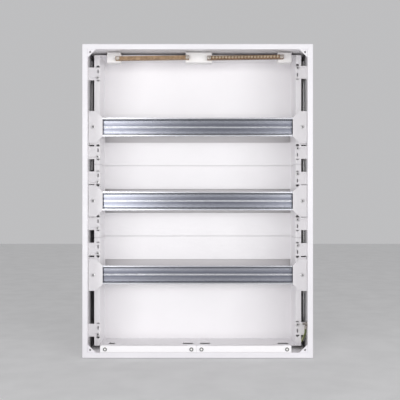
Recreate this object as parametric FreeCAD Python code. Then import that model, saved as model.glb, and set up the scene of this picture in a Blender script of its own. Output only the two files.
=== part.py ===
import FreeCAD, Part
import math
import os

os.makedirs("parts", exist_ok=True)

# Residential load center, in millimetres. X runs to the right, Z up and +Y into the wall.
# The origin is the centre of the back face, so the wall is the plane y = 0.
# A depth is measured from the front flange towards the wall.

# Box
box_width = 416.0
box_height = 566.0
box_depth = 140.0
sheet = 1.2
bend_radius = 1.6
side_flange = 9.9
end_flange = 10.0
wall_hole_radius = 4.0
wall_hole_x = 160.0
wall_hole_z = 230.0

# Corner plates, tapped for the M5 cover screws
cover_hole_x = 193.6
cover_hole_z = 268.4
cover_hole_radius = 2.1
corner_leg = 32.0

# Device rows and 35 mm top-hat rail
row_pitch = 140.0
rail_depth = 62.5
rail_height = 7.5
rail_width = 35.0
rail_channel = 27.0
rail_sheet = 1.0
rail_length = 404.0
bead_radius = 0.85

# Trays
tray_half_height = 277.6
tray_bottom = -275.6
seam_z = 70.0
seam_gap = 0.6
tray_front = rail_depth + rail_height
tray_back = 132.0
tray_wall_x = 186.5
tray_flange_x = 197.0
window_half_width = 185.0
window_half_height = 23.7

# Wall tabs and rail brackets
tab_heights = {"left": (241.7, 91.7, 44.0, -43.2, -91.6, -245.8),
               "right": (244.8, 92.3, 43.4, -43.4, -92.3, -242.6)}
tab_half_height = 12.1
tab_inner_x = 186.2
tab_leg = 17.0
tab_slot_offset = 4.6
tab_slot_half_width = 1.1
tab_screw_offset = 7.8
tab_hole_x = 189.7
bracket_nose_x = 180.0
bracket_slant = 12.5
bracket_half_height = 30.0
bracket_screw_x = 198.0

# Small screws: M4 with pan heads
screw_radius = 2.0
screw_hole_radius = 2.05
screw_head_radius = 3.6
screw_head_height = 2.4

# Terminal bars
bar_height = 7.5
bar_thickness = 9.0
bar_depth = 48.0
bar_z = {"neutral": 268.1, "earth": 269.2}
bar_tilt = 0.85
clamp_pitch = 6.0
clamp_radius = 1.95
clamp_hole_radius = 2.0
clamp_length = 6.0
wire_hole_radius = 2.2
support_top = 280.3
support_bottom = 260.8

# Gland plates
gland_front = 2.6
gland_back = 126.0
gland_lip_top = -261.2
fastener_z = -267.4
fastener_head_radius = 3.6
fastener_shank_radius = 1.6
cam_half_length = 4.6
cam_half_width = 1.4
running_gap = 0.3

# Bonding lead
lead_radius = 2.0
lug_thickness = 1.0

# Worked out from the above
front = -box_depth
half_width = box_width / 2
half_height = box_height / 2
inner_x = half_width - sheet
inner_z = half_height - sheet
rows = {"top": row_pitch, "middle": 0.0, "bottom": -row_pitch}
sides = {"left": -1, "right": 1}


def vec(x, y, z):
    return FreeCAD.Vector(x, y, z)


def at_depth(depth):
    """The y of a plane that lies this far behind the front flange."""
    return front + depth


def block(x_range, depth_range, z_range):
    """A box between two x, two depths and two z."""
    x0, x1 = sorted(x_range)
    d0, d1 = sorted(depth_range)
    z0, z1 = sorted(z_range)
    return Part.makeBox(x1 - x0, d1 - d0, z1 - z0, vec(x0, at_depth(d0), z0))


def rod(radius, start, end):
    """A round bar between two points."""
    axis = end.sub(start)
    return Part.makeCylinder(radius, axis.Length, start, axis)


def rod_y(radius, x, z, depth_range):
    """A round bar along the depth."""
    d0, d1 = depth_range
    return rod(radius, vec(x, at_depth(d0), z), vec(x, at_depth(d1), z))


def rounded_face(corners):
    """A face inside a closed outline of (point, radius), with an arc at each corner that has one."""
    edges = []
    trims = []
    count = len(corners)
    for i in range(count):
        point, radius = corners[i]
        before = corners[i - 1][0].sub(point).normalize()
        after = corners[(i + 1) % count][0].sub(point).normalize()
        if radius == 0:
            trims.append((point, None, point))
            continue
        half_angle = before.getAngle(after) / 2
        reach = radius / math.tan(half_angle)
        centre_way = before.add(after).normalize()
        middle = point.add(centre_way.multiply(radius / math.sin(half_angle) - radius))
        trims.append((point.add(before.multiply(reach)), middle, point.add(after.multiply(reach))))
    for i in range(count):
        start, middle, end = trims[i]
        if middle is not None:
            edges.append(Part.Arc(start, middle, end).toShape())
        edges.append(Part.LineSegment(end, trims[(i + 1) % count][0]).toShape())
    return Part.Face(Part.Wire(edges))


def plate(points, depth_range):
    """A flat plate with an outline of (x, z) points."""
    d0, d1 = depth_range
    outline = [(vec(x, at_depth(d0), z), 0) for x, z in points]
    return rounded_face(outline).extrude(vec(0, d1 - d0, 0))


def pan_screw(x, z, depth, length, turn):
    """An M4 pan-head screw along the depth, with a cross recess turned by an angle."""
    head = rod_y(screw_head_radius, x, z, (depth - screw_head_height, depth))
    head = head.makeFillet(1.2, [head.Edges[i] for i in front_rim(head, depth - screw_head_height)])
    shank = rod_y(screw_radius, x, z, (depth, depth + length))
    recess = []
    for angle in (turn, turn + 90):
        bar = block((x - 2.1, x + 2.1), (depth - screw_head_height, depth - 1.0), (z - 0.5, z + 0.5))
        bar.rotate(vec(x, 0, z), vec(0, 1, 0), angle)
        recess.append(bar)
    return head.fuse(shank).removeSplitter().cut(recess)


def front_rim(solid, depth):
    """The edges of a solid that lie wholly in the plane at a depth."""
    found = []
    for i, edge in enumerate(solid.Edges):
        box = edge.BoundBox
        if abs(box.YMin - at_depth(depth)) < 1e-6 and abs(box.YMax - at_depth(depth)) < 1e-6:
            found.append(i)
    return found


def save(name, shape):
    """Write one node, after a test that it is sound."""
    solids = shape.Solids
    if not solids or not shape.isValid():
        raise ValueError(name + " is not a sound solid")
    if len(solids) == 1:
        shape = solids[0]
    else:
        shape = Part.makeCompound(solids)
    shape.exportStep("parts/" + name + ".step")
    box = shape.BoundBox
    print("%-26s %2d solid %9.0f mm3  x %7.1f %7.1f  y %7.1f %6.1f  z %7.1f %7.1f" % (
        name, len(solids), shape.Volume, box.XMin, box.XMax, box.YMin, box.YMax, box.ZMin, box.ZMax))


# ---- box shell: folded sheet, open at the front inside a narrow flange ----

gland_spans = {"left": (-175.7, -2.5), "right": (-2.1, 169.0)}
fastener_places = ((-167.0, "left"), (-11.2, "left"), (7.0, "right"), (161.3, "right"))
opening_margin = 12.0
post_half_width = 7.0
post_front = 4.0


def make_box():
    outer = block((-half_width, half_width), (0, box_depth), (-half_height, half_height))
    bends = []
    for edge in outer.Edges:
        box = edge.BoundBox
        on_front = abs(box.YMax - front) < 1e-6
        along_depth = box.YLength > box_depth / 2
        if on_front or along_depth:
            bends.append(edge)
    outer = outer.makeFillet(bend_radius, bends)
    hollow = block((-inner_x, inner_x), (sheet, box_depth - sheet), (-inner_z, inner_z))
    mouth = block((side_flange - half_width, half_width - side_flange), (-1, 5),
                  (end_flange - half_height, half_height - end_flange))
    shell = outer.cut([hollow, mouth])
    posts = []
    slots = []
    for x, side in fastener_places:
        posts.append(block((x - post_half_width, x + post_half_width), (post_front, post_front + sheet),
                           (-inner_z - 0.2, fastener_z + 6.8)))
        slots.append(block((x - cam_half_width - 0.4, x + cam_half_width + 0.4),
                           (post_front - 1, post_front + 2),
                           (fastener_z - cam_half_length - 0.4, fastener_z + cam_half_length + 0.4)))
    shell = shell.fuse(posts)
    cuts = list(slots)
    for x0, x1 in gland_spans.values():
        cuts.append(block((x0 + opening_margin, x1 - opening_margin), (16, gland_back - opening_margin),
                          (-half_height - 1, -inner_z + 0.1)))
    for x in (-wall_hole_x, wall_hole_x):
        for z in (-wall_hole_z, wall_hole_z):
            cuts.append(rod_y(wall_hole_radius, x, z, (box_depth - 5, box_depth + 1)))
    # The flange corners are mitred: a fine line runs from each inner to each outer corner.
    for sx in (-1, 1):
        for sz in (-1, 1):
            groove = block((-2, 20), (-1, 0.4), (-0.2, 0.2))
            angle = math.degrees(math.atan2(end_flange, side_flange))
            groove.rotate(vec(0, 0, 0), vec(0, 1, 0), -angle)
            groove.translate(vec(side_flange - half_width, 0, end_flange - half_height))
            if sx > 0:
                groove = groove.mirror(vec(0, 0, 0), vec(1, 0, 0))
            if sz > 0:
                groove = groove.mirror(vec(0, 0, 0), vec(0, 0, 1))
            cuts.append(groove)
    # Round knock-outs in the top wall, in two sizes, each a fine ring.
    for i in range(7):
        radius = 10.2 if i % 2 else 12.7
        x = (i - 3) * 46.0
        ring_top = vec(x, at_depth(100), half_height + 1)
        ring_low = vec(x, at_depth(100), half_height - 0.4)
        cuts.append(rod(radius, ring_low, ring_top).cut(rod(radius - 0.5, ring_low, ring_top)))
    return shell.cut(cuts)


save("box_shell", make_box())

# ---- corner plates: triangles welded behind the flange, each with a tapped hole ----

cover_holes = []
for x in (-cover_hole_x, cover_hole_x):
    for z in (-cover_hole_z, cover_hole_z):
        cover_holes.append(rod_y(cover_hole_radius, x, z, (0, 4)))

for side, sx in sides.items():
    for end, sz in (("top", 1), ("bottom", -1)):
        x = sx * inner_x
        z = sz * inner_z
        corner = plate([(x, z), (x - sx * corner_leg, z), (x, z - sz * corner_leg)], (sheet, sheet + 1.3))
        save("corner_plate_" + end + "_" + side, corner.cut(cover_holes))

# ---- trays: folded sheet with a window behind the rail and a flange down each side ----
# The flanges carry the same slots as the wall tabs in front of them.

tray_spans = {"top": (seam_z + seam_gap / 2, tray_half_height),
              "middle": (-seam_z + seam_gap / 2, seam_z - seam_gap / 2),
              "bottom": (tray_bottom, -seam_z - seam_gap / 2)}
seat_spans = {"top": (107.0, 170.0), "middle": (-30.0, 30.0), "bottom": (-170.0, -107.0)}
hole_radius = 3.3
cable_slots = ((-170.8, -159.8), (-28.8, -8.9), (4.6, 23.2), (153.6, 174.5))


def tab_slot(sx, height, depth_range):
    """The upright slot at a tab, as a block to cut."""
    slot_z = height - sx * tab_slot_offset
    return block((sx * tab_hole_x - tab_slot_half_width, sx * tab_hole_x + tab_slot_half_width),
                 depth_range, (slot_z - 3.4, slot_z + 3.4))


def tray_section():
    """The folded outline of a tray in the plane z = 0: back side first, then the front side."""
    inner_bend = 1.2
    outer_bend = inner_bend + sheet
    back = [(tray_flange_x, tray_front + sheet, 0),
            (tray_wall_x + sheet, tray_front + sheet, inner_bend),
            (tray_wall_x + sheet, tray_back + sheet, outer_bend)]
    face = [(tray_wall_x, tray_back, inner_bend),
            (tray_wall_x, tray_front, outer_bend),
            (tray_flange_x, tray_front, 0)]
    points = [(-x, d, r) for x, d, r in back] + [(x, d, r) for x, d, r in reversed(back)]
    points += [(x, d, r) for x, d, r in reversed(face)] + [(-x, d, r) for x, d, r in face]
    return rounded_face([(vec(x, at_depth(d), 0), r) for x, d, r in points])


def make_tray(row):
    low, high = tray_spans[row]
    seat_low, seat_high = seat_spans[row]
    centre = rows[row]
    tray = tray_section().extrude(vec(0, 0, high - low)).translate(vec(0, 0, low))
    added = []
    for sx in sides.values():
        added.append(block((sx * (tray_flange_x - 1), sx * (inner_x - 0.4)),
                           (tray_front, tray_front + sheet), (seat_low, seat_high)))
    outer_x = tray_wall_x + 0.2
    if row == "top":
        added.append(block((-outer_x, outer_x), (tray_front, tray_back + 0.2), (high - sheet, high)))
    if row == "bottom":
        added.append(block((-outer_x, outer_x), (tray_front, tray_back + 0.2), (low, low + sheet)))
    tray = tray.fuse(added)
    cuts = [block((-window_half_width, window_half_width), (tray_back - 1, tray_back + 3),
                  (centre - window_half_height, centre + window_half_height))]
    through = (tray_front - 1, tray_front + 3)
    for side, sx in sides.items():
        cuts.append(rod_y(screw_hole_radius, sx * bracket_screw_x, centre, through))
        for number, height in enumerate(tab_heights[side]):
            if not low < height < high:
                continue
            above = 12.9 if number in (0, 1, 3) else 10.9
            below = 12.9 if number in (2, 4, 5) else 10.9
            cuts.append(rod_y(hole_radius, sx * tab_hole_x, height + above, through))
            cuts.append(rod_y(hole_radius, sx * tab_hole_x, height - below, through))
            cuts.append(rod_y(screw_hole_radius, sx * tab_hole_x, height + sx * tab_screw_offset, through))
            cuts.append(tab_slot(sx, height, through))
    if row == "bottom":
        for x0, x1 in cable_slots:
            cuts.append(block((x0, x1), (80, 94), (low - 1, low + 2)))
    return tray.cut(cuts)


for row in rows:
    save("tray_" + row, make_tray(row))

# ---- wall tabs: angles welded to the box sides, in front of the tray flanges ----


def make_tab(sx, height):
    tab = block((sx * tab_inner_x, sx * inner_x), (tray_front - sheet, tray_front),
                (height - tab_half_height, height + tab_half_height))
    leg = block((sx * (inner_x - sheet), sx * inner_x), (tray_front - sheet, tray_front + tab_leg),
                (height - tab_half_height, height + tab_half_height))
    rib_z = height + sx * tab_screw_offset
    rib = rod(1.4, vec(sx * 195.0, at_depth(tray_front - sheet + 0.5), rib_z),
              vec(sx * 203.0, at_depth(tray_front - sheet + 0.5), rib_z))
    front_half = block((-half_width, half_width), (tray_front - 4, tray_front - sheet / 2),
                       (-half_height, half_height))
    tab = tab.fuse([leg, rib.common(front_half)])
    slot = tab_slot(sx, height, (tray_front - 4, tray_front + 1))
    hole = rod_y(screw_hole_radius, sx * tab_hole_x, rib_z, (tray_front - 4, tray_front + 1))
    return tab.cut([slot, hole])


for side, sx in sides.items():
    for number, height in enumerate(tab_heights[side]):
        save("wall_tab_%s_%d" % (side, number + 1), make_tab(sx, height))

for row in rows:
    low, high = tray_spans[row]
    screws = []
    for side, sx in sides.items():
        for height in tab_heights[side]:
            if low < height < high:
                z = height + sx * tab_screw_offset
                screws.append(pan_screw(sx * tab_hole_x, z, tray_front - sheet, 8.0, 17 * len(screws)))
    save("tab_screws_" + row, Part.makeCompound(screws))

# ---- top-hat rails, 35 x 7.5 mm, with a fine bead down the middle of the web ----


def rail_section():
    """The outline of the rail in the plane x = 0, from the front of one lip to the other."""
    lip = rail_width / 2
    wall = rail_channel / 2
    web_front = rail_depth + rail_height - rail_sheet
    web_back = rail_depth + rail_height
    small = 0.4
    large = small + rail_sheet
    half = [(lip, rail_depth + rail_sheet, 0), (wall, rail_depth + rail_sheet, small),
            (wall, web_back, large)]
    face = [(wall - rail_sheet, web_front, small), (wall - rail_sheet, rail_depth, large),
            (lip, rail_depth, 0)]
    points = half + [(-z, d, r) for z, d, r in reversed(half)]
    points += [(-z, d, r) for z, d, r in reversed(face)] + face
    return rounded_face([(vec(0, at_depth(d), z), r) for z, d, r in points])


def make_rail(z):
    rail = rail_section().extrude(vec(rail_length, 0, 0)).translate(vec(-rail_length / 2, 0, z))
    web_front = rail_depth + rail_height - rail_sheet
    bead_depth = at_depth(web_front + 0.1)
    bead = rod(bead_radius, vec(-rail_length / 2, bead_depth, z), vec(rail_length / 2, bead_depth, z))
    rail = rail.fuse(bead)
    holes = [rod_y(screw_hole_radius, sx * bracket_screw_x, z, (60, 75)) for sx in sides.values()]
    return rail.cut(holes)


for row, z in rows.items():
    save("din_rail_" + row, make_rail(z))

# ---- rail brackets: trapezoid caps that clamp the rail ends to the tray seats ----


def make_bracket(sx, z):
    end = inner_x - 0.4
    shoulder = bracket_nose_x + bracket_slant
    nose = bracket_half_height - bracket_slant
    outline = [(sx * end, z + bracket_half_height), (sx * shoulder, z + bracket_half_height),
               (sx * bracket_nose_x, z + nose), (sx * bracket_nose_x, z - nose),
               (sx * shoulder, z - bracket_half_height), (sx * end, z - bracket_half_height)]
    bracket = plate(outline, (rail_depth - sheet, rail_depth))
    legs = []
    for sz in (-1, 1):
        leg_z = z + sz * bracket_half_height
        legs.append(block((sx * (shoulder + 1), sx * end), (rail_depth - sheet, tray_front),
                          (leg_z, leg_z - sz * sheet)))
    hole = rod_y(screw_hole_radius, sx * bracket_screw_x, z, (rail_depth - 4, rail_depth + 2))
    return bracket.fuse(legs).cut(hole)


for row, z in rows.items():
    screws = []
    for side, sx in sides.items():
        save("rail_bracket_%s_%s" % (row, side), make_bracket(sx, z))
        screws.append(pan_screw(sx * bracket_screw_x, z, rail_depth - sheet, 14.0, 30 * sx))
    save("rail_screws_" + row, Part.makeCompound(screws))

# ---- side strips: flat bars welded to the box sides, behind the trays' flanges ----

strip_spans = {"left_upper": (-1, 60.0, 272.0), "right_upper": (1, 30.0, 272.0),
               "right_lower": (1, -272.0, -30.0)}
for name, (sx, z0, z1) in strip_spans.items():
    save("side_strip_" + name, block((sx * inner_x, sx * (inner_x - 2.2)), (96, 108), (z0, z1)))

# ---- terminal supports: moulded blocks that grip the front edge of the top tray's upper wall ----

support_spans = {"left": (-171.0, -145.5), "middle": (-23.0, 27.0), "right": (151.0, 177.0)}
support_front = bar_depth + bar_thickness
spare_hole_x = -158.6
spare_hole_z = 267.2


def make_support(x0, x1):
    body = block((x0, x1), (support_front, 86), (support_bottom, support_top))
    body = body.makeFillet(1.0, [body.Edges[i] for i in front_rim(body, support_front)])
    grip = block((x0 - 1, x1 + 1), (tray_front - 0.3, 90),
                 (tray_half_height - sheet - 0.2, tray_half_height + 0.2))
    undercut = block((x0 - 1, x1 + 1), (74, 90), (support_bottom - 1, 267))
    return body.cut([grip, undercut])


bar_spans = {"neutral": (-154.0, -16.4), "earth": (18.0, 161.0)}
bar_screw_inset = {"neutral": (4.5, 3.0), "earth": (3.5, 4.0)}


def tilt(shape, name):
    """Turn a bar, or what is in it, about the bar's middle by the slight tilt that it has."""
    x0, x1 = bar_spans[name]
    shape.rotate(vec((x0 + x1) / 2, 0, bar_z[name]), vec(0, 1, 0), -bar_tilt)
    return shape


def bar_screw_places(name):
    x0, x1 = bar_spans[name]
    inset0, inset1 = bar_screw_inset[name]
    return (x0 + inset0, x1 - inset1)


def clamp_places(name):
    """Places of the clamp screws, evenly spaced between the two fixing screws."""
    first, last = bar_screw_places(name)
    room = last - first - 14.0
    count = int(room / clamp_pitch) + 1
    start = (first + last) / 2 - clamp_pitch * (count - 1) / 2
    return [start + i * clamp_pitch for i in range(count)]


bar_screw_holes = []
for name in bar_spans:
    for x in bar_screw_places(name):
        bar_screw_holes.append(tilt(rod_y(screw_hole_radius, x, bar_z[name], (bar_depth - 5, 75)), name))
# An unused screw place on the left support is closed by a thin skin: only its ring shows.
ring_depths = (support_front - 1, support_front + 0.5)
spare_ring = rod_y(2.2, spare_hole_x, spare_hole_z, ring_depths)
spare_ring = spare_ring.cut(rod_y(1.6, spare_hole_x, spare_hole_z, ring_depths))

for name, (x0, x1) in support_spans.items():
    save("terminal_support_" + name, make_support(x0, x1).cut(bar_screw_holes + [spare_ring]))

# ---- brass bars: a wire hole up through the bar under each clamp screw ----


def make_bar(name):
    x0, x1 = bar_spans[name]
    z = bar_z[name]
    bar = block((x0, x1), (bar_depth, support_front), (z - bar_height / 2, z + bar_height / 2))
    bar = bar.makeChamfer(0.5, bar.Edges)
    cuts = []
    for x in bar_screw_places(name):
        cuts.append(rod_y(screw_hole_radius, x, z, (bar_depth - 1, support_front + 1)))
    for x in clamp_places(name):
        cuts.append(rod_y(clamp_hole_radius, x, z, (bar_depth - 1, bar_depth + bar_thickness - 1.2)))
        cuts.append(rod(wire_hole_radius, vec(x, at_depth(bar_depth + 5.2), z - bar_height),
                        vec(x, at_depth(bar_depth + 5.2), z + bar_height)))
    return tilt(bar.cut(cuts), name)


def make_clamp_screws(name):
    """Slotted grub-like screws, shown backed off so that the wire holes are open."""
    z = bar_z[name]
    screws = []
    for i, x in enumerate(clamp_places(name)):
        screw = rod_y(clamp_radius, x, z, (bar_depth - 2.6, bar_depth - 2.6 + clamp_length))
        slot = block((x - 2.5, x + 2.5), (bar_depth - 3.6, bar_depth - 1.6), (z - 0.4, z + 0.4))
        slot.rotate(vec(x, 0, z), vec(0, 1, 0), 37 * i % 180)
        screws.append(screw.cut(slot))
    return tilt(Part.makeCompound(screws), name)


bar_screws = []
for name in bar_spans:
    save(name + "_bar", make_bar(name))
    save(name + "_clamp_screws", make_clamp_screws(name))
    for x in bar_screw_places(name):
        bar_screws.append(tilt(pan_screw(x, bar_z[name], bar_depth, 17.0, 25), name))
save("bar_screws", Part.makeCompound(bar_screws))

# ---- gland plates: a flat leg over the opening in the bottom wall and a lip up behind the flange ----


def make_gland_plate(side):
    x0, x1 = gland_spans[side]
    floor = block((x0, x1), (gland_front, gland_back), (-inner_z, -inner_z + sheet))
    lip = block((x0, x1), (gland_front, gland_front + sheet), (-inner_z, gland_lip_top))
    gland = floor.fuse(lip)
    cuts = []
    for x, owner in fastener_places:
        if owner != side:
            continue
        cuts.append(block((x - post_half_width - 0.5, x + post_half_width + 0.5),
                          (gland_front + sheet, post_front + sheet + 1.5), (-inner_z - 1, -inner_z + 3)))
        cuts.append(rod_y(fastener_shank_radius + 0.05, x, fastener_z, (0, 6)))
    # Knock-outs for cable glands, each a fine ring on the underside.
    for i in range(4):
        for depth, radius in ((44, 10.2), (88, 12.7)):
            x = x0 + (x1 - x0) * (i + 0.5) / 4 * 0.86 + (x1 - x0) * 0.07
            low = vec(x, at_depth(depth), -inner_z - 1)
            high = vec(x, at_depth(depth), -inner_z + 0.4)
            cuts.append(rod(radius, low, high).cut(rod(radius - 0.5, low, high)))
    return gland.cut(cuts)


for side in gland_spans:
    save("gland_plate_" + side, make_gland_plate(side))

# ---- quarter-turn fasteners: head in front of the lip, cross cam behind the slotted post ----


def make_fastener(x):
    head_back = gland_front - running_gap
    head = rod_y(fastener_head_radius, x, fastener_z, (sheet, head_back))
    head = head.makeFillet(0.4, [head.Edges[i] for i in front_rim(head, sheet)])
    slot = block((x - 2.4, x + 2.4), (sheet - 0.2, sheet + 0.6), (fastener_z - 0.45, fastener_z + 0.45))
    cam_front = post_front + sheet + running_gap
    cam_depths = (cam_front, cam_front + 2.0)
    shank = rod_y(fastener_shank_radius, x, fastener_z, (head_back, cam_depths[1]))
    shank = shank.common(block((x - cam_half_width, x + cam_half_width), (head_back, cam_depths[1]),
                               (fastener_z - 4, fastener_z + 4)))
    collar = rod_y(fastener_shank_radius, x, fastener_z, (head_back, gland_front + sheet))
    cam = block((x - cam_half_length, x + cam_half_length), cam_depths,
                (fastener_z - cam_half_width, fastener_z + cam_half_width))
    cam = cam.common(rod_y(cam_half_length, x, fastener_z, cam_depths))
    return head.fuse([collar, shank, cam]).cut(slot)


for number, (x, side) in enumerate(fastener_places):
    save("gland_fastener_%d" % (number + 1), make_fastener(x))

# ---- bonding lead: from a stud on the box side to a screw on the bottom tray's side wall ----

stud_x = inner_x
stud_depth = 60.0
stud_z = -232.0
tray_screw_depth = 104.0
tray_screw_z = -250.0
tray_side_x = tray_wall_x + sheet
lug_reach = 9.5


def make_stud():
    """A stud welded to the box side with a hex nut that holds the lug."""
    start = vec(stud_x, at_depth(stud_depth), stud_z)
    stud = rod(2.0, start, vec(stud_x - 9.0, at_depth(stud_depth), stud_z))
    foot = rod(4.5, start, vec(stud_x - 0.8, at_depth(stud_depth), stud_z))
    return stud.fuse([foot, hexagon(stud_x - 0.8 - lug_thickness, -1, stud_depth, stud_z)])


def hexagon(x, way, depth, z):
    """A 7 mm hexagon, 3 mm thick, with its axis along x."""
    points = []
    for i in range(7):
        angle = math.radians(60 * i)
        points.append(vec(x, at_depth(depth) + 4.04 * math.cos(angle), z + 4.04 * math.sin(angle)))
    return Part.Face(Part.makePolygon(points)).extrude(vec(3.0 * way, 0, 0))


def make_lug(x, way, depth, z, barrel):
    """A ring lug: an eye on the screw, and a barrel in the direction that its wire leaves."""
    ring = rod(4.2, vec(x, at_depth(depth), z), vec(x + way * lug_thickness, at_depth(depth), z))
    centre = vec(x + way * lead_radius * 1.2, at_depth(depth), z)
    end = centre.add(vec(barrel.x, barrel.y, barrel.z).multiply(lug_reach))
    start = centre.add(vec(barrel.x, barrel.y, barrel.z).multiply(4.6))
    tube = rod(lead_radius + 0.4, start, end)
    neck = Part.makeBox(6.6, lug_thickness, 5.0, vec(0, 0, -2.5))
    neck.rotate(vec(0, 0, 0), vec(0, 0, 1), 90)
    neck.translate(vec(lug_thickness if way > 0 else 0, 0, 0))
    neck.rotate(vec(0, 0, 0), vec(1, 0, 0), math.degrees(math.atan2(barrel.z, barrel.y)))
    neck.translate(vec(x, at_depth(depth), z))
    lug = ring.fuse([neck, tube])
    bore = rod(2.05, vec(x - way, at_depth(depth), z), vec(x + way * 3, at_depth(depth), z))
    return lug.cut(bore), end


def make_lead(points):
    """A tube along straight runs joined by tangent arcs, as large as the shorter run allows."""
    edges = []
    place = points[0]
    for i in range(1, len(points) - 1):
        before = points[i - 1].sub(points[i])
        after = points[i + 1].sub(points[i])
        shorter = min(before.Length, after.Length)
        half_turn = (math.pi - before.getAngle(after)) / 2
        radius = 0.45 * shorter / math.tan(half_turn)
        print("lead arc radius %.1f mm, run %.1f mm" % (radius, before.Length))
        reach = 0.45 * shorter
        start = points[i].add(before.normalize().multiply(reach))
        end = points[i].add(after.normalize().multiply(reach))
        inward = before.normalize().add(after.normalize()).normalize()
        middle = points[i].add(inward.multiply(radius / math.cos(half_turn) - radius))
        edges.append(Part.LineSegment(place, start).toShape())
        edges.append(Part.Arc(start, middle, end).toShape())
        place = end
    edges.append(Part.LineSegment(place, points[-1]).toShape())
    path = Part.Wire(edges)
    ring = Part.Wire(Part.makeCircle(lead_radius, points[0], points[1].sub(points[0])))
    tube = path.makePipeShell([ring], True, False)
    print("lead length %.1f mm, volume ratio %.4f" % (
        path.Length, tube.Volume / (math.pi * lead_radius ** 2 * path.Length)))
    return tube


save("earth_stud_nut", make_stud())
down = vec(0, 0, -1)
lug_a, lead_start = make_lug(stud_x - 0.8, -1, stud_depth, stud_z, down)
save("earth_lug_box", lug_a)
lug_b, lead_end = make_lug(tray_side_x, 1, tray_screw_depth, tray_screw_z, down)
save("earth_lug_tray", lug_b)
tray_screw = rod(1.9, vec(tray_side_x, at_depth(tray_screw_depth), tray_screw_z),
                 vec(tray_side_x + 4.0, at_depth(tray_screw_depth), tray_screw_z))
save("earth_lug_screw", tray_screw.fuse(hexagon(tray_side_x + lug_thickness, 1, tray_screw_depth,
                                                 tray_screw_z)))
route = [lead_start,
         vec(lead_start.x, at_depth(60.0), -249.0),
         vec(201.2, at_depth(63.6), -257.4),
         vec(199.4, at_depth(70.6), -264.6),
         vec(198.0, at_depth(80.0), -270.6),
         vec(195.0, at_depth(92.0), -274.6),
         vec(lead_end.x, at_depth(104.0), -271.6),
         lead_end]
print("lead from", lead_start, "to", lead_end)
save("earth_lead", make_lead(route))
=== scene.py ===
import math

import bpy
import numpy as np
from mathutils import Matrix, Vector


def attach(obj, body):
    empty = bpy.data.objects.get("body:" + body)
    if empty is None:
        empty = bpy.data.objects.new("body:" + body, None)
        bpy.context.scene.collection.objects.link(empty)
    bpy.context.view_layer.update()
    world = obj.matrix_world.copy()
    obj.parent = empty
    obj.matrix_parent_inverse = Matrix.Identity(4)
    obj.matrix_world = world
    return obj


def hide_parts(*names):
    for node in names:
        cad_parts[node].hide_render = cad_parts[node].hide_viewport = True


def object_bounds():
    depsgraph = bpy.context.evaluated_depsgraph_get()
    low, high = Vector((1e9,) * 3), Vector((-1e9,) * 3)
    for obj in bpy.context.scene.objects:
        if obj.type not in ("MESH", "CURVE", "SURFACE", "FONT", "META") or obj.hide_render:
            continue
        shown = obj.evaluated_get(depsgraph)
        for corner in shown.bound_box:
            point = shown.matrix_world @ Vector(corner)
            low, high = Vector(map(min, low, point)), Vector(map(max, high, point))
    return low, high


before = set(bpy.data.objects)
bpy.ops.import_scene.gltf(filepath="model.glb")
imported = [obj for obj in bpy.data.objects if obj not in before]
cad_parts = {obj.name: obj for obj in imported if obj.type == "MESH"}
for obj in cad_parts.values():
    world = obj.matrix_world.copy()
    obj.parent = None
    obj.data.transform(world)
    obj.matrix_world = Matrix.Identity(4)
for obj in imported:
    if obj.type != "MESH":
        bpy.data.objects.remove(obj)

cad_low, cad_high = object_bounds()

# ---- Camera ----
# A long lens square on to the open front, a little over a metre away, so that the walls show
# only as narrow strips of perspective.

CAMERA_DISTANCE = 1.200
CAMERA_RIGHT = 0.0043
CAMERA_UP = 0.0018
LENS_MM = 60.03
SENSOR_MM = 36.0
camera_data = bpy.data.cameras.new("camera")
camera_data.sensor_width = SENSOR_MM
camera_data.lens = LENS_MM
camera = bpy.data.objects.new("camera", camera_data)
camera.location = (CAMERA_RIGHT, cad_low[1] - CAMERA_DISTANCE, CAMERA_UP)
camera.rotation_euler = (math.radians(90.0), 0.0, 0.0)
bpy.context.scene.collection.objects.link(camera)
bpy.context.scene.camera = camera
bpy.context.scene.view_settings.view_transform = "Standard"

# ---- Bonding lead ----
# A short 6 mm2 stranded copper wire in green PVC with a yellow stripe, 4 mm across. It is
# crimped in a lug at each end: one on the box's stud, one on the bottom tray's side wall.
# The piece is a tube carried along the wire's route; u runs along it and v round it.


def linear(hex_colour):
    """An sRGB hex colour as linear RGBA: each channel through the sRGB curve's inverse."""
    channels = np.array([int(hex_colour[i:i + 2], 16) for i in (1, 3, 5)]) / 255.0
    curve = np.where(channels <= 0.04045, channels / 12.92, ((channels + 0.055) / 1.055) ** 2.4)
    return (*curve.tolist(), 1.0)


def add_node(material, kind, settings=(), inputs=(), stops=()):
    """One shader node with its settings; each input takes a value or a link from a socket, and
    a colour ramp takes its stops as (position, hex colour)."""
    made = material.node_tree.nodes.new(kind)
    for name, value in dict(settings).items():
        setattr(made, name, value)
    for name, value in dict(inputs).items():
        if isinstance(value, bpy.types.NodeSocket):
            material.node_tree.links.new(value, made.inputs[name])
        else:
            made.inputs[name].default_value = value
    if stops:
        elements = made.color_ramp.elements
        while len(elements) < len(stops):
            elements.new(0.5)
        for element, (position, colour) in zip(elements, stops):
            element.position = position
            element.color = linear(colour)
    return made


def new_material(name, **values):
    """A material with its shader's uniform values set on the shader's own sockets."""
    material = bpy.data.materials.new(name)
    material.use_nodes = True
    shader = material.node_tree.nodes["Principled BSDF"]
    for socket, value in values.items():
        shader.inputs[socket.replace("_", " ")].default_value = value
    return material, shader


def link(material, socket, shader, name):
    """Join a node's output to one of the shader's inputs."""
    material.node_tree.links.new(socket, shader.inputs[name])


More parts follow.
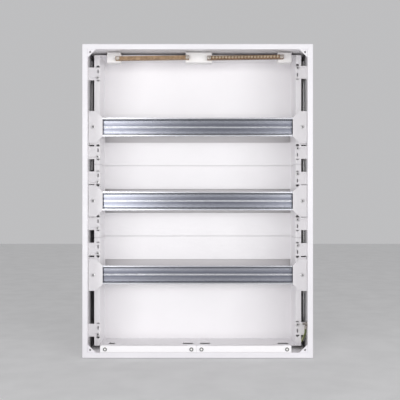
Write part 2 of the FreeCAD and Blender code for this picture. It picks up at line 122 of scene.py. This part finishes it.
def mesh_piece(name, points, faces, smooth=True, uv=None):
    """A mesh object at the origin from an array of points and a list of arrays of faces, with
    an optional UV map that is given per point."""
    mesh = bpy.data.meshes.new(name)
    mesh.from_pydata(points.tolist(), [], [face for group in faces for face in group.tolist()])
    if smooth:
        mesh.shade_smooth()
    else:
        mesh.shade_flat()
    if uv is not None:
        corner_vertices = np.empty(len(mesh.loops), int)
        mesh.loops.foreach_get("vertex_index", corner_vertices)
        mesh.uv_layers.new(name="along").data.foreach_set("uv", uv[corner_vertices].ravel())
    piece = bpy.data.objects.new(name, mesh)
    bpy.context.scene.collection.objects.link(piece)
    return piece


def grid_faces(rows, columns):
    """Quads of a grid of points, row by row; the last column joins on to the first."""
    r, c = np.meshgrid(np.arange(rows - 1), np.arange(columns), indexing="ij")
    after = (c + 1) % columns
    quads = [r * columns + c, r * columns + after, (r + 1) * columns + after, (r + 1) * columns + c]
    return np.stack(quads, -1).reshape(-1, 4)


LEAD_RADIUS = 0.0020
LEAD_SIDES = 24
LEAD_ROUTE = [
    (0.2036, -0.0800, -0.2415), (0.2036, -0.0800, -0.2490), (0.2012, -0.0764, -0.2574),
    (0.1994, -0.0694, -0.2646), (0.1980, -0.0600, -0.2706), (0.1950, -0.0480, -0.2746),
    (0.1901, -0.0360, -0.2716), (0.1901, -0.0360, -0.2595),
]


def smooth_line(route):
    """Points read along a quadratic NURBS spline whose control points are the route's."""
    curve = bpy.data.curves.new("route", "CURVE")
    curve.dimensions = "3D"
    spline = curve.splines.new("NURBS")
    spline.points.add(len(route) - 1)
    spline.points.foreach_set("co", np.c_[np.array(route), np.ones(len(route))].ravel())
    spline.order_u = 3
    spline.use_endpoint_u = True
    spline.resolution_u = 16
    holder = bpy.data.objects.new("route", curve)
    line = bpy.data.meshes.new_from_object(holder)
    found = np.empty(len(line.vertices) * 3)
    line.vertices.foreach_get("co", found)
    bpy.data.objects.remove(holder)
    bpy.data.curves.remove(curve)
    bpy.data.meshes.remove(line)
    return found.reshape(-1, 3)


def tube(name, line, radius, sides):
    """A closed tube: at each point of the line, a circle in the plane across the line's
    direction, turned by parallel transport so that it does not twist."""
    tangents = np.gradient(line, axis=0)
    tangents /= np.linalg.norm(tangents, axis=1)[:, None]
    across = np.cross(tangents[0], (0.0, 1.0, 0.0))
    normals = []
    for tangent in tangents:
        across = across - tangent * across.dot(tangent)
        across = across / np.linalg.norm(across)
        normals.append(across)
    normals = np.array(normals)
    binormals = np.cross(tangents, normals)
    angles = np.linspace(0.0, 2.0 * np.pi, sides, endpoint=False)
    along_normal = np.cos(angles)[None, :, None] * normals[:, None]
    along_binormal = np.sin(angles)[None, :, None] * binormals[:, None]
    skin = (line[:, None] + radius * (along_normal + along_binormal)).reshape(-1, 3)
    points = np.vstack([skin, line[0], line[-1]])
    faces = grid_faces(len(line), sides)
    steps = np.r_[0.0, np.cumsum(np.linalg.norm(np.diff(line, axis=0), axis=1))]
    uv = np.stack(np.broadcast_arrays(steps[:, None] / radius, angles[None, :] / (2.0 * np.pi)), -1)
    uv = np.vstack([uv.reshape(-1, 2), [0.0, 0.0], [steps[-1] / radius, 0.0]])
    first, last = len(skin), len(skin) + 1
    around = np.arange(sides)
    start_cap = np.stack([np.full(sides, first), (around + 1) % sides, around], -1)
    end_ring = (len(line) - 1) * sides
    end_cap = np.stack([np.full(sides, last), end_ring + around, end_ring + (around + 1) % sides], -1)
    return mesh_piece(name, points, [faces, start_cap, end_cap], uv=uv)


lead_line = smooth_line(LEAD_ROUTE)
lead = tube("bonding_lead", lead_line, LEAD_RADIUS, LEAD_SIDES)
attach(lead, "cabinet")
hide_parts("earth_lead")

# PVC wire insulation, extruded in two colours: satin green with one broad yellow stripe that
# winds slowly round the wire, one turn in this length.
STRIPE_TURN_MM = 125.0
pvc, shader = new_material("extruded_pvc_green_yellow", Roughness=0.42, IOR=1.53)
uv_map = add_node(pvc, "ShaderNodeUVMap", {"uv_map": "along"})
parts = add_node(pvc, "ShaderNodeSeparateXYZ", inputs={"Vector": uv_map.outputs["UV"]})
turn = add_node(pvc, "ShaderNodeMath", {"operation": "MULTIPLY_ADD"},
                {0: parts.outputs["X"], 1: 1000.0 * LEAD_RADIUS / STRIPE_TURN_MM, 2: parts.outputs["Y"]})
phase = add_node(pvc, "ShaderNodeMath", {"operation": "FRACT"}, {0: turn.outputs[0]})
stripe = add_node(pvc, "ShaderNodeValToRGB", inputs={"Fac": phase.outputs[0]}, stops=[
    (0.0, "#626b42"), (0.50, "#656e44"), (0.53, "#c6cb96"), (0.95, "#cacf9a"), (0.98, "#626b42")])
link(pvc, stripe.outputs["Color"], shader, "Base Color")
lead.data.materials.append(pvc)

# ---- Cabinet: the box and its corner plates ----
# Folded 1.2 mm sheet steel, spot-welded at the corners, with a triangular plate behind each
# corner of the flange. All of it is powder-coated white inside and out.


def dress(material, *names):
    """Give CAD nodes a material in place of the one they came with."""
    for name in names:
        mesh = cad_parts[name].data
        mesh.materials.clear()
        mesh.materials.append(material)


def named(start):
    """The CAD nodes whose names start this way."""
    return [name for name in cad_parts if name.startswith(start)]


def clouded(material, size_mm, detail, dark, light, start=0.3, end=0.7):
    """Two colours in soft patches of about this size: noise, read through a ramp that is dark
    at start and light at end. It gives the colour and the noise."""
    place = add_node(material, "ShaderNodeTexCoord").outputs["Object"]
    patches = add_node(material, "ShaderNodeTexNoise", inputs={
        "Vector": place, "Scale": 1000.0 / size_mm, "Detail": detail})
    colour = add_node(material, "ShaderNodeValToRGB", inputs={"Fac": patches.outputs["Fac"]},
                      stops=[(start, dark), (end, light)])
    return colour.outputs["Color"], patches.outputs["Fac"]


DRIFT_MM = 143.0
DUST_MM = 11.1
PEEL_MM = 1.6
PEEL_DEPTH = 0.0004
ROUGHNESS_SPREAD = 0.06


def powder_coat(name, light, shade, roughness):
    """Baked polyester powder on sheet steel: a pale satin film with a fine orange peel, a
    slow drift of tone over a hand's breadth and faint dust in the open areas."""
    material, film = new_material(name, IOR=1.5, Coat_Weight=0.08, Coat_Roughness=0.3)
    link(material, clouded(material, DRIFT_MM, 3.0, shade, light, 0.35, 0.65)[0], film, "Base Color")
    place = add_node(material, "ShaderNodeTexCoord").outputs["Object"]
    dust = add_node(material, "ShaderNodeTexNoise", inputs={
        "Vector": place, "Scale": 1000.0 / DUST_MM, "Detail": 4.0})
    rough = add_node(material, "ShaderNodeMapRange", inputs={
        "Value": dust.outputs["Fac"], "From Min": 0.3, "From Max": 0.7,
        "To Min": roughness - ROUGHNESS_SPREAD, "To Max": roughness + ROUGHNESS_SPREAD})
    link(material, rough.outputs["Result"], film, "Roughness")
    peel = add_node(material, "ShaderNodeTexNoise", inputs={
        "Vector": place, "Scale": 1000.0 / PEEL_MM, "Detail": 1.5})
    bump = add_node(material, "ShaderNodeBump", inputs={
        "Height": peel.outputs["Fac"], "Strength": 0.05, "Distance": PEEL_DEPTH})
    link(material, bump.outputs["Normal"], film, "Normal")
    return material


shell_coat = powder_coat("powder_coated_shell_white", "#e8e6ea", "#e2e0e4", 0.42)
shell_film = shell_coat.node_tree.nodes["Principled BSDF"]


def region(*edges):
    """A mask: the product of its edges. Each is (coordinate, start, end), and rises in a
    straight line from 0 where the coordinate is at start to 1 where it is at end."""
    mask = 1.0
    for coordinate, start, end in edges:
        rise = add_node(shell_coat, "ShaderNodeMapRange", inputs={
            "Value": coordinate, "From Min": start, "From Max": end})
        product = add_node(shell_coat, "ShaderNodeMath", {"operation": "MULTIPLY"},
                           {0: mask, 1: rise.outputs["Result"]})
        mask = product.outputs[0]
    return mask


# The inner faces are painted brighter than the flange: painted light. The rear wall is painted
# greyer, and the side walls behind the trays' front a dull mottled grey: painted shade, where the
# trays and rails shadow them. Each pair says how far in from the front, a side or the back a mask
# starts and ends.
INDOORS_FROM_FRONT = np.array((0.0015, 0.0040))
SHADE_BEHIND_TRAYS_FROM_FRONT = np.array((0.0860, 0.0875))
SHADE_BEHIND_TRAYS_FROM_SIDE = np.array((0.0030, 0.0026))
INNER_FACE_FROM_SIDE = np.array((0.0006, 0.0008))
REAR_FROM_BACK = np.array((0.0110, 0.0080))
INNER_FACE_FROM_BACK = np.array((0.0007, 0.0009))
SHADE_GREY_MM = 8.33
place = add_node(shell_coat, "ShaderNodeTexCoord").outputs["Object"]
xyz = add_node(shell_coat, "ShaderNodeSeparateXYZ", inputs={"Vector": place})
depth = xyz.outputs["Y"]
aside = add_node(shell_coat, "ShaderNodeMath", {"operation": "ABSOLUTE"}, {0: xyz.outputs["X"]}).outputs[0]
front, back, side = cad_low[1], 0.0, cad_high[0]
indoors = region((depth, *(front + INDOORS_FROM_FRONT)))
rear = region((depth, *(back - REAR_FROM_BACK)), (depth, *(back - INNER_FACE_FROM_BACK)))
behind_trays_painted_shade = region((aside, *(side - INNER_FACE_FROM_SIDE)), (aside, *(side - SHADE_BEHIND_TRAYS_FROM_SIDE)),
              (depth, *(front + SHADE_BEHIND_TRAYS_FROM_FRONT)))
behind_trays_shade_grey = clouded(shell_coat, SHADE_GREY_MM, 2.0, "#918f93", "#a5a3a7")[0]
finish = shell_film.inputs["Base Color"].links[0].from_socket
# Painted light on the inner faces; painted shade on the rear wall and on the side walls behind the trays.
for mask, colour in ((indoors, linear("#f5f3f5")), (rear, linear("#d9d6d8")), (behind_trays_painted_shade, behind_trays_shade_grey)):
    laid = add_node(shell_coat, "ShaderNodeMix", {"data_type": "RGBA"}, {0: mask, 6: finish, 7: colour})
    finish = laid.outputs[2]
link(shell_coat, finish, shell_film, "Base Color")
dress(shell_coat, "box_shell", *named("corner_plate"))

# ---- Trays, wall tabs, rail brackets and gland plates ----
# All are folded from sheet steel, as the box is. They have the same white powder coat, painted a
# little brighter than on the box's front flange: painted light, lifting the shade inside the box.

coat = powder_coat("powder_coated_inner_sheet_white", "#f7f5f7", "#f3f1f3", 0.46)
dress(coat, *named("tray_"), *named("wall_tab"), *named("rail_bracket"), *named("gland_plate"))

# ---- Top-hat rails ----
# Roll-formed 1 mm strip, galvanised and passivated: a cool grey metal drawn smooth by the rollers,
# with fine lines along it and faint flat crystals of zinc, and painted highlights and shade across it.

# The drawn lines are coarser than the real ones, which are a few tenths of a millimetre apart,
# so that they show.
SPANGLE_MM = 1.1
DRAWN_LINE_MM = (200.0, 3.33, 1.92)
ROW_PITCH = 0.140
PROFILE_REACH = 0.018
rolled, shader = new_material("galvanised_rolled_strip", Metallic=1.0, Anisotropic=0.4)
place = add_node(rolled, "ShaderNodeTexCoord").outputs["Object"]
xyz = add_node(rolled, "ShaderNodeSeparateXYZ", inputs={"Vector": place})
offset = add_node(rolled, "ShaderNodeMath", {"operation": "WRAP"},
                  {0: xyz.outputs["Z"], 1: -ROW_PITCH / 2, 2: ROW_PITCH / 2})
across = add_node(rolled, "ShaderNodeMath", {"operation": "ABSOLUTE"}, {0: offset.outputs[0]})
profile = add_node(rolled, "ShaderNodeMapRange", inputs={
    "Value": across.outputs[0], "From Min": 0.0, "From Max": PROFILE_REACH})
# From the rail's middle line outwards: a painted highlight along the middle, the channel's floor,
# painted lighter towards its side, painted shade on the bend, and a painted highlight on the lip.
profile_painted_light = add_node(rolled, "ShaderNodeValToRGB", inputs={"Fac": profile.outputs["Result"]}, stops=[
    (0.0, "#f2f3f6"), (0.062, "#f2f3f6"), (0.088, "#777983"), (0.28, "#7d7f89"), (0.52, "#9c9ea6"),
    (0.74, "#a3a5ad"), (0.765, "#505156"), (0.815, "#505156"), (0.84, "#c9cace"), (1.0, "#d3d4d8")])
crystals = add_node(rolled, "ShaderNodeTexVoronoi", inputs={
    "Vector": place, "Scale": 1000.0 / SPANGLE_MM})
crystal = add_node(rolled, "ShaderNodeSeparateColor", inputs={"Color": crystals.outputs["Color"]})
drawn = add_node(rolled, "ShaderNodeMapping", inputs={
    "Vector": place, "Scale": [1000.0 / size for size in DRAWN_LINE_MM]})
lines = add_node(rolled, "ShaderNodeTexNoise", inputs={
    "Vector": drawn.outputs["Vector"], "Scale": 1.0, "Detail": 2.0})
tone = add_node(rolled, "ShaderNodeMath", {"operation": "MULTIPLY_ADD"},
                {0: crystal.outputs["Red"], 1: 0.30, 2: lines.outputs["Fac"]})
streaks = add_node(rolled, "ShaderNodeValToRGB", inputs={"Fac": tone.outputs[0]},
                   stops=[(0.35, "#d2d3d8"), (0.95, "#ffffff")])
skin = add_node(rolled, "ShaderNodeMix", {"data_type": "RGBA", "blend_type": "MULTIPLY"},
                {0: 1.0, 6: profile_painted_light.outputs["Color"], 7: streaks.outputs["Color"]})
link(rolled, skin.outputs[2], shader, "Base Color")
gloss = add_node(rolled, "ShaderNodeMapRange", inputs={
    "Value": crystal.outputs["Green"], "To Min": 0.20, "To Max": 0.26})
link(rolled, gloss.outputs["Result"], shader, "Roughness")
relief = add_node(rolled, "ShaderNodeBump", inputs={
    "Height": lines.outputs["Fac"], "Strength": 0.015, "Distance": 0.0002})
link(rolled, relief.outputs["Normal"], shader, "Normal")
tangent = add_node(rolled, "ShaderNodeCombineXYZ", inputs={"X": 1.0, "Y": 0.0, "Z": 0.0})
link(rolled, tangent.outputs["Vector"], shader, "Tangent")
dress(rolled, *named("din_rail"))

# ---- Screws, nuts, lugs and side strips ----
# Steel screws and strips with bright zinc plating: smooth, with fine handling marks. The bars'
# screws, the lead's tinned copper lugs and their nut and screw have gone a dull warm grey.

HANDLING_MM = 1.11
zinc_plate, shader = new_material("bright_zinc_plated_steel", Metallic=1.0)
bright, marks = clouded(zinc_plate, HANDLING_MM, 3.0, "#e2e2e3", "#f4f3f2")
link(zinc_plate, bright, shader, "Base Color")
worn = add_node(zinc_plate, "ShaderNodeMapRange", inputs={"Value": marks, "To Min": 0.22, "To Max": 0.42})
link(zinc_plate, worn.outputs["Result"], shader, "Roughness")
dress(zinc_plate, *named("side_strip"), *named("tab_screws"), *named("rail_screws"))


def recoloured(material, name, dark, light):
    """A copy of a material, with other colours at the two ends of its colour ramp."""
    made = material.copy()
    made.name = name
    for node in made.node_tree.nodes:
        if node.bl_idname == "ShaderNodeValToRGB":
            node.color_ramp.elements[0].color = linear(dark)
            node.color_ramp.elements[1].color = linear(light)
    return made


worn_zinc = recoloured(zinc_plate, "worn_zinc_plated_steel", "#a39b93", "#c9c4bd")
dress(worn_zinc, "bar_screws", "earth_stud_nut", "earth_lug_screw", "earth_lug_box", "earth_lug_tray")

# ---- Painted shade in the cross recesses ----
# A dull, almost black film lies in the bottom of each screw's cross recess: painted shade, where
# the recess is in shadow. It is a cross of two thin bars, cut to the recess and turned with it.

# The mottling in the painted shade is coarse, so that it shows from close by. The specks are
# coarser than real dust, so that they show from close by.
RECESS_SHADE_MOTTLE_MM = 0.667
# Painted shade: a dull, almost black film for the shadow in each cross recess.
recess_shade_material, shader = new_material("painted_recess_shade", Roughness=0.65, IOR=1.45)
link(recess_shade_material, clouded(recess_shade_material, RECESS_SHADE_MOTTLE_MM, 2.0, "#262422", "#3b3835")[0], shader, "Base Color")

TAB_HEIGHTS = {-1: (0.2417, 0.0917, 0.0440, -0.0432, -0.0916, -0.2458),
               1: (0.2448, 0.0923, 0.0434, -0.0434, -0.0923, -0.2426)}
TRAY_EDGES = (0.2776, 0.0700, -0.0700, -0.2756)
TAB_SCREW_PLACE = (0.1897, -0.0722)
TAB_SCREW_RISE = 0.0078
TAB_SCREW_TURN = 17.0
RAIL_SCREW_PLACE = (0.1980, -0.0797)
RAIL_SCREW_TURN = 30.0


def recess_crosses():
    """Centre and turn of each recess, (x, y, z, degrees): first the tab screws, tray by tray
    and side by side, each turned further than the one before, then the rail brackets'."""
    found = []
    aside, front = TAB_SCREW_PLACE
    for high_edge, low_edge in zip(TRAY_EDGES[:-1], TRAY_EDGES[1:]):
        turns = 0
        for side, heights in TAB_HEIGHTS.items():
            for height in heights:
                if low_edge < height < high_edge:
                    centre = (side * aside, front, height + side * TAB_SCREW_RISE)
                    found.append((*centre, TAB_SCREW_TURN * turns))
                    turns += 1
    aside, front = RAIL_SCREW_PLACE
    for side in (-1, 1):
        for row in (ROW_PITCH, 0.0, -ROW_PITCH):
            found.append((side * aside, front, row, RAIL_SCREW_TURN * side))
    return found


CROSS_LENGTH = 0.00410
CROSS_WIDTH = 0.00092
FILM_DEPTH = 0.00006
SECOND_BAR_DROP = 0.00001


def recess_shade_film():
    """The bars of all the crosses in one mesh: each bar is a thin box of eight corners, turned
    about Y, and the cross's second bar lies a little deeper so that no two faces coincide."""
    corners = np.indices((2, 2, 2)).reshape(3, 8).T
    box = (corners - (0.5, 1.0, 0.5)) * (CROSS_LENGTH, FILM_DEPTH, CROSS_WIDTH)
    sides = np.array([(0, 1, 3, 2), (4, 6, 7, 5), (0, 4, 5, 1), (2, 3, 7, 6), (0, 2, 6, 4), (1, 5, 7, 3)])
    points, faces = [], []
    for x, y, z, turn in recess_crosses():
        for quarter, drop in ((0.0, 0.0), (90.0, SECOND_BAR_DROP)):
            angle = math.radians(turn + quarter)
            c, s = math.cos(angle), math.sin(angle)
            spun = np.c_[box[:, 0] * c + box[:, 2] * s, box[:, 1] + drop, box[:, 2] * c - box[:, 0] * s]
            faces.append(sides + 8 * len(points))
            points.append(spun + (x, y, z))
    return mesh_piece("recess_painted_shade", np.concatenate(points), faces, smooth=False)


recess_shade_piece = recess_shade_film()
recess_shade_piece.data.materials.append(recess_shade_material)
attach(recess_shade_piece, "cabinet")

# ---- Terminal supports ----
# Clips that grip the edge of the top tray and carry the bars. They are injection-moulded in
# white polyamide: a faintly warm satin white, with the fine grain of a spark-eroded mould.

# The grain is coarser than the real one, of about a tenth of a millimetre, so that it shows.
FLOW_MM = 16.7
GRAIN_MM = 0.556
polyamide, shader = new_material("moulded_polyamide_white", Roughness=0.5, IOR=1.53)
link(polyamide, clouded(polyamide, FLOW_MM, 2.0, "#eceae9", "#f5f3f2")[0], shader, "Base Color")
place = add_node(polyamide, "ShaderNodeTexCoord").outputs["Object"]
grain = add_node(polyamide, "ShaderNodeTexNoise", inputs={
    "Vector": place, "Scale": 1000.0 / GRAIN_MM, "Detail": 1.0})
texture = add_node(polyamide, "ShaderNodeBump", inputs={
    "Height": grain.outputs["Fac"], "Strength": 0.12, "Distance": 0.0002})
link(polyamide, texture.outputs["Normal"], shader, "Normal")
dress(polyamide, *named("terminal_support"))

# ---- Gland plate fasteners ----
# A quarter-turn screw of the same white polyamide, with a grey ring on the front of its head that
# turns with it: painted shade for the shadow in the gap round the head. Each ring is a low half-round
# swept about the screw's axis.

dress(polyamide, *named("gland_fastener"))
# The ring's dull grey is painted shade for the shadow round each fastener's head.
FASTENER_SHADE_MOTTLE_MM = 1.43
ring_shade_material, shader = new_material("painted_shade_fastener_ring", Roughness=0.55, IOR=1.53)
ring_shade_grey = clouded(ring_shade_material, FASTENER_SHADE_MOTTLE_MM, 2.0, "#5a5d5a", "#6b6e6b")[0]
link(ring_shade_material, ring_shade_grey, shader, "Base Color")


def swept_ring(name, centre, back, profile, steps=48):
    """A closed ring about an axis along Y: the profile is (radius, height forward of its back)
    pairs in order round a closed outline."""
    profile = np.array(profile)
    angles = np.linspace(0.0, 2.0 * np.pi, steps, endpoint=False)
    radii, heights = profile[None, :, 0], profile[None, :, 1]
    points = np.stack(np.broadcast_arrays(centre[0] + radii * np.cos(angles)[:, None], back - heights,
                                          centre[1] + radii * np.sin(angles)[:, None]), -1)
    points = np.concatenate([points, points[:1]]).reshape(-1, 3)
    return mesh_piece(name, points, [grid_faces(steps + 1, len(profile))])


FASTENERS_ACROSS = (-0.1670, -0.0112, 0.0070, 0.1613)
FASTENER_HEIGHT = -0.2674
RING_BACK = cad_low[1] + 0.00118
RING_RADIUS = 0.0027
RING_HALF_WIDTH = 0.00085
RING_RISE = 0.00040
half_round = [(RING_RADIUS + RING_HALF_WIDTH * math.cos(angle), RING_RISE * math.sin(angle))
              for angle in np.linspace(0.0, np.pi, 9)]
for number, x in enumerate(FASTENERS_ACROSS, start=1):
    ring = swept_ring("fastener_shade_ring_%d" % number, (x, FASTENER_HEIGHT), RING_BACK, half_round)
    ring.data.materials.append(ring_shade_material)
    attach(ring, "gland_fastener_%d" % number)

# ---- Neutral and earth bars ----
# Extruded brass bar, sawn, drilled and tapped, gone dull and brown with handling, with stains
# and faint lines along it. The earth bar is darker, and its clamp screws are nickel-plated:
# pale and a little yellow. The neutral bar's are bare brass.

# The extrusion lines are coarser than the real ones, so that they show.
EXTRUDED_LINE_MM = (25.0, 1.11, 1.11)
STAIN_MM = 7.69
brass, shader = new_material("extruded_brass_dull", Metallic=1.0)
place = add_node(brass, "ShaderNodeTexCoord").outputs["Object"]
along = add_node(brass, "ShaderNodeMapping", inputs={
    "Vector": place, "Scale": [1000.0 / size for size in EXTRUDED_LINE_MM]})
lines = add_node(brass, "ShaderNodeTexNoise", inputs={
    "Vector": along.outputs["Vector"], "Scale": 1.0, "Detail": 3.0})
stain = add_node(brass, "ShaderNodeTexNoise", inputs={
    "Vector": place, "Scale": 1000.0 / STAIN_MM, "Detail": 4.0})
wear = add_node(brass, "ShaderNodeMath", {"operation": "MULTIPLY_ADD"},
                {0: lines.outputs["Fac"], 1: 0.35, 2: stain.outputs["Fac"]})
browned = add_node(brass, "ShaderNodeValToRGB", inputs={"Fac": wear.outputs[0]},
                   stops=[(0.45, "#8d755c"), (0.85, "#b69c80")])
link(brass, browned.outputs["Color"], shader, "Base Color")
dull = add_node(brass, "ShaderNodeMapRange", inputs={
    "Value": stain.outputs["Fac"], "To Min": 0.34, "To Max": 0.52})
link(brass, dull.outputs["Result"], shader, "Roughness")
dress(brass, "neutral_bar", "neutral_clamp_screws")
dress(recoloured(brass, "extruded_brass_tarnished", "#745c49", "#9a8069"), "earth_bar")

TARNISH_MM = 3.33
clamp_brass, shader = new_material("nickel_plated_brass", Metallic=1.0, Roughness=0.35)
link(clamp_brass, clouded(clamp_brass, TARNISH_MM, 3.0, "#b3a48b", "#d0c4ae")[0], shader, "Base Color")
dress(clamp_brass, "earth_clamp_screws")

# ---- Studio ----
# A floor of plain pale paper and a neutral grey surround, with a broad soft light on each side
# of the camera and a faint one above it.

FLOOR_REACH = 3.0
FLOOR_GAP = 0.0005
FIBRE_MM = 50.0
floor_z = cad_low[2] - FLOOR_GAP
corners = np.array([(-1, -1), (1, -1), (1, 1), (-1, 1)]) * FLOOR_REACH
floor_points = np.c_[corners, np.full(4, floor_z)]
floor = mesh_piece("studio_floor", floor_points, [np.array([[0, 1, 2, 3]])], smooth=False)
floor_paper, shader = new_material("matt_floor_paper", Roughness=0.9)
link(floor_paper, clouded(floor_paper, FIBRE_MM, 2.0, "#e4e4e4", "#eaeaea")[0], shader, "Base Color")
floor.data.materials.append(floor_paper)

world = bpy.data.worlds.new("studio")
world.use_nodes = True
surround = world.node_tree.nodes["Background"].inputs
surround["Color"].default_value = linear("#929293")
surround["Strength"].default_value = 1.8
bpy.context.scene.world = world


def soft_light(name, place, target, width, height, power):
    """A rectangular area light at a place, turned to face a target."""
    data = bpy.data.lights.new(name, "AREA")
    data.shape = "RECTANGLE"
    data.size = width
    data.size_y = height
    data.energy = power
    lamp = bpy.data.objects.new(name, data)
    lamp.location = place
    lamp.rotation_mode = "QUATERNION"
    lamp.rotation_quaternion = (Vector(target) - Vector(place)).to_track_quat("-Z", "Y")
    bpy.context.scene.collection.objects.link(lamp)


soft_light("softbox_left", (-0.82, -1.95, 0.09), (0.0, 0.0, 0.06), width=1.05, height=0.72, power=12.6)
soft_light("softbox_right", (1.10, -1.80, 0.09), (0.0, 0.0, 0.06), width=1.30, height=0.72, power=14.5)
soft_light("softbox_top", (0.0, -2.00, 0.75), (0.0, 0.0, 0.0), width=1.80, height=0.40, power=0.8)
